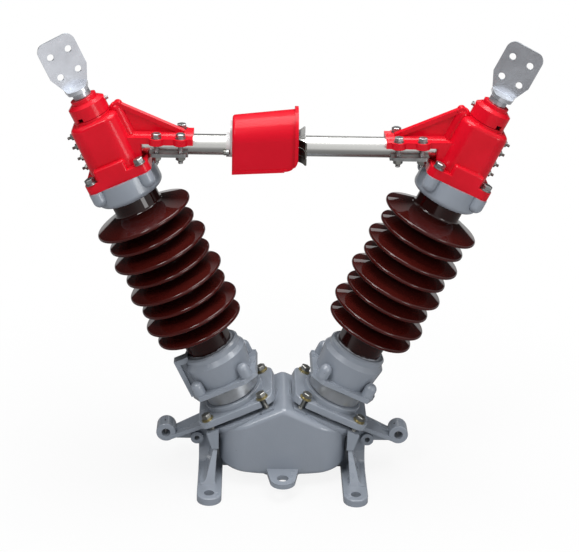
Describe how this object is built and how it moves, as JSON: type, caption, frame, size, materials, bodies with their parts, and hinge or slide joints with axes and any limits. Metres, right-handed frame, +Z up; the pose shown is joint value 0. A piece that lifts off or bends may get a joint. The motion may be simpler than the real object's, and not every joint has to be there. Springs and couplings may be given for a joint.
{
  "type": "centre-break disconnect switch",
  "caption": "High-voltage centre-break disconnect switch: brown porcelain columns lean apart in a V on a gear housing, with red heads and arms that part as they turn.",
  "frame": {"origin": "middle of the base on the ground plane, between both foot straps", "axes": "+X from the left column to the right one along the closed arms, +Y to the rear, the way the arms swing open, +Z up"},
  "size_m": [1.0046, 0.352, 0.9531],
  "materials": {
    "grey_paint": "satin grey machine paint",
    "red_paint": "glossy signal red paint",
    "red_hood": "glossy signal red paint",
    "porcelain": "dark brown glaze",
    "silver": "polished silvery metal",
    "zinc": "zinc plated",
    "pale_plate": "pale grey",
    "terminal_plate": "tinned, satin",
    "dark_contact": "tarnished contact metal"
  },
  "bodies": {
    "base": {"base_casting": "grey_paint", "left_bearing_cover": "grey_paint", "right_bearing_cover": "grey_paint"},
    "left_column": {"left_column_shaft": "zinc", "left_lower_fitting": "grey_paint", "left_insulator": "porcelain", "left_upper_fitting": "grey_paint", "left_head": "red_paint", "left_clamp_plate": "zinc", "left_arm_tube": "silver", "contact_block": "silver", "front_fingers": "dark_contact", "rear_fingers": "silver", "hood": "red_hood", "hood_bracket": "pale_plate"},
    "right_column": {"right_column_shaft": "zinc", "right_lower_fitting": "grey_paint", "right_insulator": "porcelain", "right_upper_fitting": "grey_paint", "right_head": "red_paint", "right_clamp_plate": "zinc", "right_arm_tube": "silver", "contact_ball": "silver"},
    "left_connector": {"left_rain_cap": "red_paint", "left_terminal": "terminal_plate"},
    "right_connector": {"right_rain_cap": "red_paint", "right_terminal": "terminal_plate"}
  },
  "joints": [
    {"name": "left_column_turn", "type": "hinge", "parent": "base", "child": "left_column", "pos_m": [-0.0972, 0, 0.15845], "axis": [-0.4226, 0, 0.9063], "range_deg": [0, 90]},
    {"name": "right_column_turn", "type": "hinge", "parent": "base", "child": "right_column", "pos_m": [0.0972, 0, 0.15845], "axis": [0.4226, 0, 0.9063], "range_deg": [-90, 0]},
    {"name": "left_terminal_swivel", "type": "hinge", "parent": "left_column", "child": "left_connector", "pos_m": [-0.39937, 0, 0.80646], "axis": [-0.4226, 0, 0.9063], "range_deg": [-90, 90]},
    {"name": "right_terminal_swivel", "type": "hinge", "parent": "right_column", "child": "right_connector", "pos_m": [0.39937, 0, 0.80646], "axis": [0.4226, 0, 0.9063], "range_deg": [-90, 90]}
  ],
  "couplings": [
    {"joint": "right_column_turn", "follows": "left_column_turn", "ratio": -1}
  ]
}
